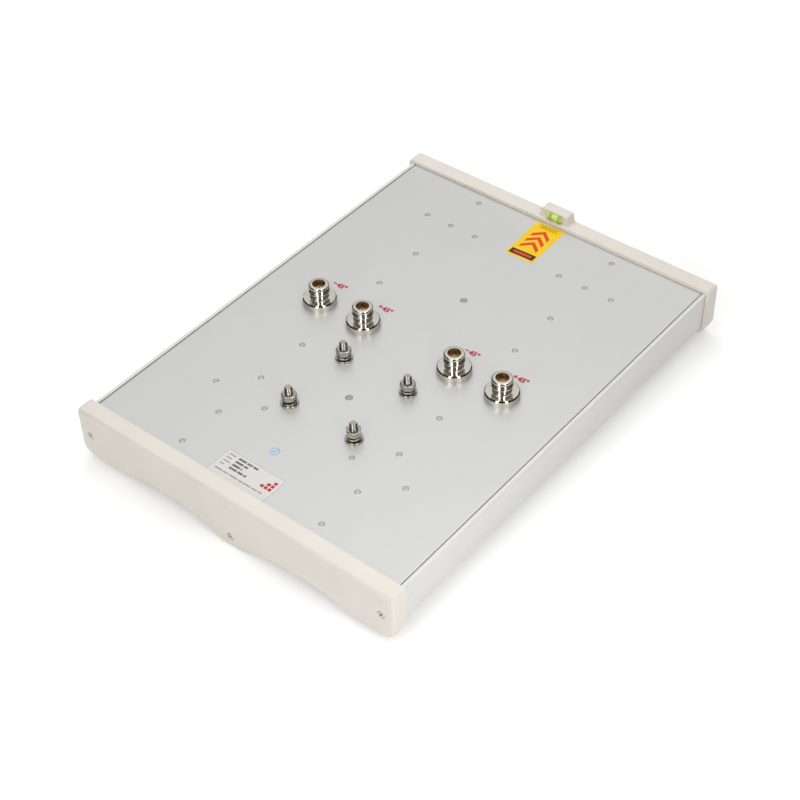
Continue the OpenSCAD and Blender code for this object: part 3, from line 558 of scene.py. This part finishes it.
red_ink = ink("red_screen_ink", "B81F33", "C42A3D")
black_ink = ink("black_screen_ink", "24211D", "302C27")
grey_ink = ink("grey_screen_ink", "77746E", "85827C")
orange_ink = ink("orange_screen_ink", "E0400A", "E84C14")
olive_ink = ink("olive_screen_ink", "857512", "958420")
blue_ink = ink("pale_blue_stamp_ink", "86BAD6", "9CC8DE")
white_vinyl = vinyl("white_vinyl", "DEDCD8", "E2E0DD")
yellow_vinyl = vinyl("yellow_vinyl", "FACC0C", "FCD218")
print("six inks and two vinyls, up to", round(SECOND_INK[1], 2), "mm above the plate")

# %% [markdown]
# The plate has a white data sticker near one end. Real letters could not be read at this size, so the
# print is rows of plain blocks, a few to a word: short grey ones for names, black ones for values and a
# fine line along the foot. A stair of red squares fills the free corner, and a thin grey line runs round
# the edge.

# %% White data sticker
LABEL_CENTRE, LABEL_SIZE, STICKER_CORNER = (-6.4, -101.7), (53.5, 25.0), 0.6
BORDER_INSET, BORDER_WIDTH = 0.7, 0.2
WORD_LETTERS, LETTER_WIDTH, LETTER_GAP = (6, 4, 7, 3), 0.85, 0.3
ROWS_Y, NAMES_X, VALUES_X, FOOT_Y = (8.6, 5.2, 1.8, -1.6), -22.5, -14.0, -6.8
NAME_LENGTHS, VALUE_LENGTHS, FOOT_LENGTH = (5, 4, 5, 3), (14, 9, 7, 12), 33
NAME_HEIGHT, VALUE_HEIGHT, FOOT_HEIGHT = 1.0, 1.8, 1.1
SQUARES_AT, SQUARE_PITCH, SQUARE, SQUARE_CORNER = (15.5, 6.0), 3.4, 2.6, 0.3


def greeked(x, y, letters, height):
    """Outlines of a row of blocks that stands for print: words of a few blocks, from x to the right."""
    word_ends = np.cumsum(np.resize(WORD_LETTERS, letters))
    place = np.arange(letters)
    spaces = (place[:, None] >= word_ends).sum(1)
    starts = x + place * (LETTER_WIDTH + LETTER_GAP) + spaces * LETTER_WIDTH
    return [rounded_box(start + LETTER_WIDTH / 2, y, LETTER_WIDTH, height) for start in starts]


half_w, half_h = (side / 2 - BORDER_INSET for side in LABEL_SIZE)
border = [
    *[rounded_box(0, s * half_h, 2 * half_w, BORDER_WIDTH) for s in (-1, 1)],
    *[rounded_box(s * half_w, 0, BORDER_WIDTH, 2 * (half_h - BORDER_WIDTH)) for s in (-1, 1)],
]
names = [box for y, n in zip(ROWS_Y, NAME_LENGTHS) for box in greeked(NAMES_X, y, n, NAME_HEIGHT)]
values = [box for y, n in zip(ROWS_Y, VALUE_LENGTHS) for box in greeked(VALUES_X, y, n, VALUE_HEIGHT)]
foot_line = greeked(NAMES_X, FOOT_Y, FOOT_LENGTH, FOOT_HEIGHT)
stair = [np.array((i, -j)) * SQUARE_PITCH + SQUARES_AT for i in range(3) for j in range(3) if i + j > 1]
squares = [rounded_box(*place, SQUARE, SQUARE, SQUARE_CORNER) for place in stair]
label = rounded_box(0, 0, *LABEL_SIZE, STICKER_CORNER)
lay("data_sticker", [label], PLATE_VINYL, white_vinyl, "radome", LABEL_CENTRE)
lay("data_sticker_border", border, VINYL_INK, grey_ink, "seal", LABEL_CENTRE)
lay("data_sticker_rows", names + foot_line, VINYL_INK, grey_ink, "seal", LABEL_CENTRE)
lay("data_sticker_values", values, VINYL_INK, black_ink, "seal", LABEL_CENTRE)
lay("data_sticker_squares", squares, VINYL_INK, red_ink, "seal", LABEL_CENTRE)
print("data sticker:", len(border + names + values + foot_line + squares), "printed shapes")

# %% [markdown]
# A yellow sticker lies at the end with the level and shows which way is up: three orange chevrons that
# point to that end, a black band with an orange bar below them and fine lines above. It was stuck on by
# hand, so it is turned a few degrees.

# %% Yellow sticker with chevrons
ARROW_CENTRE, ARROW_SIZE, ARROW_TURN = (1.4, 225.6), (25.6, 47.0), 2.7
BAND_Y, BAND_SIZE, BAND_CORNER, BAR_SIZE, BAR_CORNER = -18.2, (22.0, 6.4), 0.4, (17.0, 2.6), 1.2
CHEVRONS_Y, CHEVRON_HALF, CHEVRON_RISE, CHEVRON_THICK = (-11.5, -3.5, 4.5), 8.0, 7.0, 4.2
LINES_Y, LINE_PITCH, LINE_THICK, LINE_LENGTHS = 18.4, 1.6, 0.6, (17, 14, 18)


def chevron(y, half, rise, thick):
    """Outline of a chevron that points to +Y: two slanted bars that meet on the centre line."""
    lower = np.array([(-half, y), (0, y + rise), (half, y)])
    return np.vstack([lower, lower[::-1] + (0, thick)])


spot = (ARROW_CENTRE, ARROW_TURN)
band = rounded_box(0, BAND_Y, *BAND_SIZE, BAND_CORNER)
bar = rounded_box(0, BAND_Y, *BAR_SIZE, BAR_CORNER)
chevrons = [chevron(y, CHEVRON_HALF, CHEVRON_RISE, CHEVRON_THICK) for y in CHEVRONS_Y]
lines = [rounded_box(0, LINES_Y + LINE_PITCH * i, w, LINE_THICK) for i, w in enumerate(LINE_LENGTHS)]
arrow = rounded_box(0, 0, *ARROW_SIZE, STICKER_CORNER)
lay("up_sticker", [arrow], PLATE_VINYL, yellow_vinyl, "radome", *spot)
lay("up_sticker_band", [band], VINYL_INK, black_ink, "seal", *spot)
lay("up_sticker_band_bar", [bar], SECOND_INK, orange_ink, "seal", *spot)
lay("up_sticker_chevrons", chevrons, VINYL_INK, orange_ink, "seal", *spot)
lay("up_sticker_lines", lines, VINYL_INK, olive_ink, "seal", *spot)
print("yellow sticker:", len(chevrons), "chevrons and", len(lines), "lines")

# %% [markdown]
# A small pale blue stamp says that the plate was inspected: a ring with a tick in it, printed straight on
# the plate and a little askew. It could be a picture on the plate; as a thin solid it stays sharp from
# near.

# %% Inspection stamp
STAMP_CENTRE, STAMP_OUTER, STAMP_INNER, STAMP_TURN = (-5.8, -72.7), 3.8, 3.0, 20
tick = [(-2.2, 0.1), (-0.6, -1.8), (2.4, 1.6), (1.6, 2.4), (-0.6, 0.0), (-1.4, 0.9)]
stamp_ring = ring(0, 0, STAMP_OUTER, STAMP_INNER)
lay("inspection_stamp", [stamp_ring, tick], PLATE_INK, blue_ink, "seal", STAMP_CENTRE, STAMP_TURN)
print("stamp:", 2 * STAMP_OUTER, "mm across")

# %% [markdown]
# Each jack is marked in red with its slant in degrees. The marks are figures, so they start as text
# objects with the built-in font. The text is made a mesh before it gets its place, and it is scaled to
# the printed width. A small offset makes the strokes bold. Such a mesh comes as loose front, back and
# walls, so its doubles are merged to close the seams. The offset turns the small hole of the 4 inside
# out, so all faces are then turned outwards. The signs are plain bars.

# %% Figures as thin solids
FIGURES_WIDTH, BOLD, HALF_THICK, SEAM = 9.0, 0.05, 0.5, 1e-5


def text_mesh(name, words):
    """Mesh of a text one unit high and one unit thick, with its seams closed and its faces outwards."""
    curve = bpy.data.curves.new(name, "FONT")
    curve.body, curve.offset, curve.extrude = words, BOLD, HALF_THICK
    letters = bpy.data.objects.new(name + "_letters", curve)
    bpy.context.scene.collection.objects.link(letters)
    bpy.context.view_layer.update()
    mesh = bpy.data.meshes.new_from_object(letters.evaluated_get(bpy.context.evaluated_depsgraph_get()))
    bpy.data.objects.remove(letters)
    seams = bmesh.new()
    seams.from_mesh(mesh)
    bmesh.ops.remove_doubles(seams, verts=seams.verts, dist=SEAM)
    bmesh.ops.recalc_face_normals(seams, faces=seams.faces)
    seams.to_mesh(mesh)
    seams.free()
    return mesh


def print_figures(name, words, x, y):
    """Text as a thin solid, centred on a point of the plate and scaled to the printed width."""
    mesh = text_mesh(name, words)
    points = np.empty(3 * len(mesh.vertices))
    mesh.vertices.foreach_get("co", points)
    points = points.reshape(-1, 3)
    low, high = points.min(0), points.max(0)
    scale = FIGURES_WIDTH / (high[0] - low[0])
    flat = (points[:, :2] - (low[:2] + high[:2]) / 2) * scale + (x, y)
    level = (points[:, 2] - low[2]) / (high[2] - low[2]) * INK
    mesh.vertices.foreach_set("co", (np.column_stack([flat, level]) * MM).ravel())
    mesh.materials.clear()
    mesh.materials.append(red_ink)
    piece = bpy.data.objects.new(name, mesh)
    bpy.context.scene.collection.objects.link(piece)
    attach(piece, "root")
    return scale * (high[1] - low[1])


# %% [markdown]
# The left jack of each pair slants one way and the right one the other, so the signs take turns. The
# marks were stamped one by one, and each sits a little off its jack's centre line.

# %% Angle marks in red
FIGURES_SHIFT, SIGN_SHIFT, SIGN_LENGTH, SIGN_WIDTH = 1.9, -4.7, 3.2, 1.15
minus = [rounded_box(0, 0, SIGN_LENGTH, SIGN_WIDTH)]
stem = (SIGN_LENGTH - SIGN_WIDTH) / 2
plus = [*minus, *[rounded_box(0, s * (stem + SIGN_WIDTH) / 2, SIGN_WIDTH, stem) for s in (-1, 1)]]
MARK_SIGNS = (minus, plus, minus, plus)
MARK_OFFSETS = ((-0.8, 24.4), (1.9, 23.9), (-1.9, 24.0), (0.4, 22.6))
for i, sign, offset in zip(JACKS, MARK_SIGNS, MARK_OFFSETS):
    x, y = np.array(mounts[f"connector_{i}_thread"]["pos_m"][:2]) / MM + offset
    figures_height = print_figures(f"angle_figures_{i}", "45°", x + FIGURES_SHIFT, y)
    lay(f"angle_sign_{i}", sign, PLATE_INK, red_ink, "seal", (x + SIGN_SHIFT, y))
print("angle marks:", round(figures_height, 2), "mm high")

# %% [markdown]
# The vial has two pairs of black lines that the bubble sits between. Each is a thin ring round the vial:
# a small rectangle carried round the vial's axis. The rings are turned about Z like the jacks, and then
# their axes are swapped round, so that they stand about X.

# %% Lines on the vial
VIAL_LINES_X, VIAL_LINE_WIDTH, VIAL_COLUMNS, SUNK, PROUD = (-3.7, -1.9, 4.5, 6.1), 0.45, 64, 0.05, 0.04
vial_low, vial_high = (np.array(c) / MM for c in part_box("level_vial"))
vial_centre = (vial_low + vial_high) / 2
vial_r = (vial_high[2] - vial_low[2]) / 2
half = VIAL_LINE_WIDTH / 2
line_section = np.array([(-SUNK, -half), (PROUD, -half), (PROUD, half), (-SUNK, half)]) + (vial_r, 0)
hoop = turned(line_section, VIAL_COLUMNS).reshape(-1, 3)[:, [2, 0, 1]] + vial_centre
hoop_faces = grid_faces(len(line_section), VIAL_COLUMNS, wrap_rows=True)
line_points = np.vstack([hoop + (x, 0, 0) for x in VIAL_LINES_X])
line_faces = np.vstack([hoop_faces + k * len(hoop) for k in range(len(VIAL_LINES_X))])
vial_lines = make_piece("vial_lines", line_points, line_faces.tolist(), [black_ink])
print("vial lines:", len(VIAL_LINES_X), "rings of", round(2 * vial_r, 2), "mm")

# %% [markdown]
# ## Studio
# The floor is white and keeps the shadow. Lamps near the antenna light the floor less and less farther
# out, so it gets a glow of its own for the camera and for mirrors, stronger with distance, and it stays
# white from every side without more light on the antenna.

# %% Floor
FLOOR_HALF, FLOOR_CLOUDS = 4000.0, 200
FLOOR_LIFT, FAR_LIFT, GLOW_FROM, GLOW_TO = 0.25, 0.75, 450.0, 1300.0


def mirror_rays(tree, rays):
    """1 for a ray that comes from a mirror or through glass, else 0."""
    return calculate(tree, "MAXIMUM", rays["Is Glossy Ray"], rays["Is Transmission Ray"])


floor_material, tree, shader = start_material("white_floor", Roughness=0.9, Specular_IOR_Level=0.1)
tree.links.new(blend(tree, speckle(tree, FLOOR_CLOUDS), "F3F3F3", "F6F6F6"), shader.inputs["Base Color"])
rays = add(tree, "ShaderNodeLightPath").outputs
seen = calculate(tree, "MAXIMUM", rays["Is Camera Ray"], mirror_rays(tree, rays))
place = add(tree, "ShaderNodeTexCoord").outputs["Object"]
distance = add(tree, "ShaderNodeVectorMath", links={0: place}, operation="LENGTH").outputs["Value"]
glow = add(tree, "ShaderNodeMapRange",
           {"From Min": GLOW_FROM * MM, "From Max": GLOW_TO * MM, "To Min": FLOOR_LIFT, "To Max": FAR_LIFT},
           {"Value": distance}).outputs[0]
shader.inputs["Emission Color"].default_value = (1, 1, 1, 1)
tree.links.new(calculate(tree, "MULTIPLY", seen, glow), shader.inputs["Emission Strength"])

floor_z = cad_box[0][2] / MM
floor_points = np.column_stack([rounded_box(0, 0, 2 * FLOOR_HALF, 2 * FLOOR_HALF), np.full(4, floor_z)])
floor_mesh = bpy.data.meshes.new("floor")
floor_mesh.from_pydata((floor_points * MM).tolist(), [], [(0, 1, 2, 3)])
floor_mesh.materials.append(floor_material)
floor = bpy.data.objects.new("floor", floor_mesh)
bpy.context.scene.collection.objects.link(floor)
print("floor at", round(floor_z, 2), "mm")

# %% [markdown]
# The camera's place was worked out from the panel's parallel edges in a photograph. It is given as a
# photographer would say it: the point it looks at, how far round and up it stands, how far away, and how
# much it leans. The lens is a short telephoto. Lamps are aimed by the same function.

# %% Camera
CAMERA_TARGET, CAMERA_AWAY = (30.45, 20.22, 0.0), 1210.86
CAMERA_AZIMUTH, CAMERA_RISE, CAMERA_ROLL = 40.187, 43.408, -1.901
SENSOR, FOCAL_LENGTH = 36.0, 76.5


def direction(azimuth, elevation):
    """Unit vector (sin a cos e, -cos a cos e, sin e): azimuth 0 is -Y, and 90 degrees is +X."""
    a, e = math.radians(azimuth), math.radians(elevation)
    return np.array([math.sin(a) * math.cos(e), -math.cos(a) * math.cos(e), math.sin(e)])


def looking_at(target, azimuth, elevation, away, roll=0.0):
    """Matrix of a camera or lamp that looks at a target in mm from a direction and a distance.

    Its back is the direction, and its right is level, turned by roll about the back.
    """
    back = direction(azimuth, elevation)
    level = direction(azimuth + 90, 0)
    r = math.radians(roll)
    right = math.cos(r) * level + math.sin(r) * np.cross(back, level)
    axes = Matrix((right, np.cross(back, right), back)).transposed().to_4x4()
    return Matrix.Translation((np.array(target) + away * back) * MM) @ axes


lens = bpy.data.cameras.new("camera")
lens.sensor_width, lens.lens = SENSOR, FOCAL_LENGTH
camera = bpy.data.objects.new("camera", lens)
camera.matrix_world = looking_at(CAMERA_TARGET, CAMERA_AZIMUTH, CAMERA_RISE, CAMERA_AWAY, CAMERA_ROLL)
bpy.context.scene.collection.objects.link(camera)
bpy.context.scene.camera = camera
print("camera at", [round(v, 3) for v in camera.matrix_world.translation], "m")

# %% [markdown]
# A picture of a real studio could be wrapped round the scene, but a few nodes are easier to tune. The sky
# does three jobs, told apart by the kind of ray that meets it. The camera sees plain white. Matt surfaces
# see an even grey, which is the light that the walls throw back, also where it comes to them by way of
# metal. Mirror rays see a dark room with one large panel behind the antenna, brighter towards its top:
# the plate and the flanges take their tone from it. Rays that have met two mirrors, as between a jack's
# neck and its flange, see an even dim room, so the necks stay a calm dark grey between their bright
# lines.

# %% Sky
AMBIENT, DARK_ROOM, SECOND_MIRROR, WHITE = 0.30, 0.02, 0.2, 1.0
OVER_ONE, UNDER_ONE = 1.5, 0.5
PANEL_ROUND, PANEL_RISE, PANEL_EDGE, PANEL_FULL = 156, 50, 0.55, 0.85
PANEL_LOW, PANEL_HIGH = 0.10, 1.22


def mix_levels(tree, factor, first, second):
    """Level that goes from one socket or number to another as a factor goes from 0 to 1."""
    ends = {"A": first, "B": second}
    links = {k: v for k, v in ends.items() if isinstance(v, bpy.types.NodeSocket)}
    values = {k: v for k, v in ends.items() if k not in links}
    return add(tree, "ShaderNodeMix", values, {"Factor": factor, **links}).outputs["Result"]


sky = bpy.data.worlds.new("studio")
bpy.context.scene.world = sky
sky.use_nodes = True
tree = sky.node_tree
tree.nodes.clear()
towards = add(tree, "ShaderNodeTexCoord").outputs["Generated"]
panel_at = direction(CAMERA_AZIMUTH + PANEL_ROUND, PANEL_RISE)
near_panel = add(tree, "ShaderNodeVectorMath", {1: panel_at}, {0: towards},
                 operation="DOT_PRODUCT").outputs["Value"]
lit = add(tree, "ShaderNodeMapRange", {"From Min": PANEL_EDGE, "From Max": PANEL_FULL},
          {"Value": near_panel}, interpolation_type="SMOOTHSTEP").outputs[0]
height = add(tree, "ShaderNodeSeparateXYZ", links={0: towards}).outputs["Z"]
panel = add(tree, "ShaderNodeMapRange", {"To Min": PANEL_LOW, "To Max": PANEL_HIGH},
            {"Value": height}).outputs[0]
rays = add(tree, "ShaderNodeLightPath").outputs
twice = calculate(tree, "GREATER_THAN", rays["Glossy Depth"], OVER_ONE)
mirrored = mix_levels(tree, twice, mix_levels(tree, lit, DARK_ROOM, panel), SECOND_MIRROR)
never_matt = calculate(tree, "LESS_THAN", rays["Diffuse Depth"], UNDER_ONE)
mirror = calculate(tree, "MULTIPLY", mirror_rays(tree, rays), never_matt)
unseen = mix_levels(tree, mirror, AMBIENT, mirrored)
level = mix_levels(tree, rays["Is Camera Ray"], unseen, WHITE)
background = add(tree, "ShaderNodeBackground", {"Color": (1, 1, 1, 1)}, {"Strength": level})
add(tree, "ShaderNodeOutputWorld", links={"Surface": background.outputs[0]})
print("sky: panel at", PANEL_RISE, "degrees up, behind the antenna")

# %% [markdown]
# Two strips beside the camera draw the pair of bright lines down each jack, and wide lamps overhead light
# the upper flanks of the threads. One set of lamps could light everything, but then the bright lines and
# the matt tones could not be set apart. So the strips and the middle overhead lamp light bright metal
# alone. The soft lights in the strips' places and the fills are for matt surfaces, and all but the front
# one are left out of reflections: one fill is behind for the far end, one near the camera's right for the
# long side, and one low in front for the caps.

# %% Softboxes
LAMP_TARGET = np.array(mounts["connector_1_thread"]["pos_m"]) / MM * (0, 1, 0)
BESIDE, BESIDE_RISE, BESIDE_AWAY, STRIP_SIZE, SOFT_SIZE = 29, 44, 950, (160, 500), (260, 500)
ACROSS, OVERHEAD_RISE, OVERHEAD_AWAY, OVERHEAD_SIZE = 73, 70, 2000, (900, 1100)


def softbox(name, azimuth, rise, away, size, radiance, mirrored=True, matt=True):
    """Area lamp aimed at the antenna's middle: its power is radiance times pi times area in square metres.

    It can be left out of mirror reflections or of matt light.
    """
    lamp = bpy.data.lights.new(name, "AREA")
    lamp.shape = "RECTANGLE"
    lamp.size, lamp.size_y = size[0] * MM, size[1] * MM
    lamp.energy = radiance * math.pi * lamp.size * lamp.size_y
    piece = bpy.data.objects.new(name, lamp)
    piece.matrix_world = looking_at(LAMP_TARGET, azimuth, rise, away)
    piece.visible_glossy, piece.visible_diffuse = mirrored, matt
    bpy.context.scene.collection.objects.link(piece)


left, right = CAMERA_AZIMUTH - BESIDE, CAMERA_AZIMUTH + BESIDE
behind, beside = CAMERA_AZIMUTH + 180, CAMERA_AZIMUTH + 18
softbox("left_strip", left, BESIDE_RISE, BESIDE_AWAY, STRIP_SIZE, radiance=6.0, matt=False)
softbox("right_strip", right, BESIDE_RISE, BESIDE_AWAY, STRIP_SIZE, radiance=5.4, matt=False)
softbox("left_softbox", left, BESIDE_RISE, BESIDE_AWAY, SOFT_SIZE, radiance=3.3, mirrored=False)
softbox("right_softbox", right, BESIDE_RISE, BESIDE_AWAY, SOFT_SIZE, radiance=2.4, mirrored=False)
for name, turn in (("left_overhead", -ACROSS), ("right_overhead", ACROSS)):
    softbox(name, CAMERA_AZIMUTH + turn, OVERHEAD_RISE, OVERHEAD_AWAY, OVERHEAD_SIZE, radiance=1.3)
softbox("middle_overhead", CAMERA_AZIMUTH, rise=82, away=2000, size=(900, 900), radiance=0.5, matt=False)
softbox("back_fill", behind, rise=62, away=900, size=(700, 700), radiance=1.85, mirrored=False)
softbox("near_fill", beside, rise=20, away=520, size=(200, 200), radiance=3.4, mirrored=False)
softbox("front_fill", azimuth=5, rise=18, away=2000, size=(1200, 1200), radiance=1.15)
print("lamps:", len(bpy.data.lights))

# %% [markdown]
# ## Colour management
# The Standard view shows colours about as they are written.

# %% Colour management
bpy.context.scene.view_settings.view_transform = "Standard"
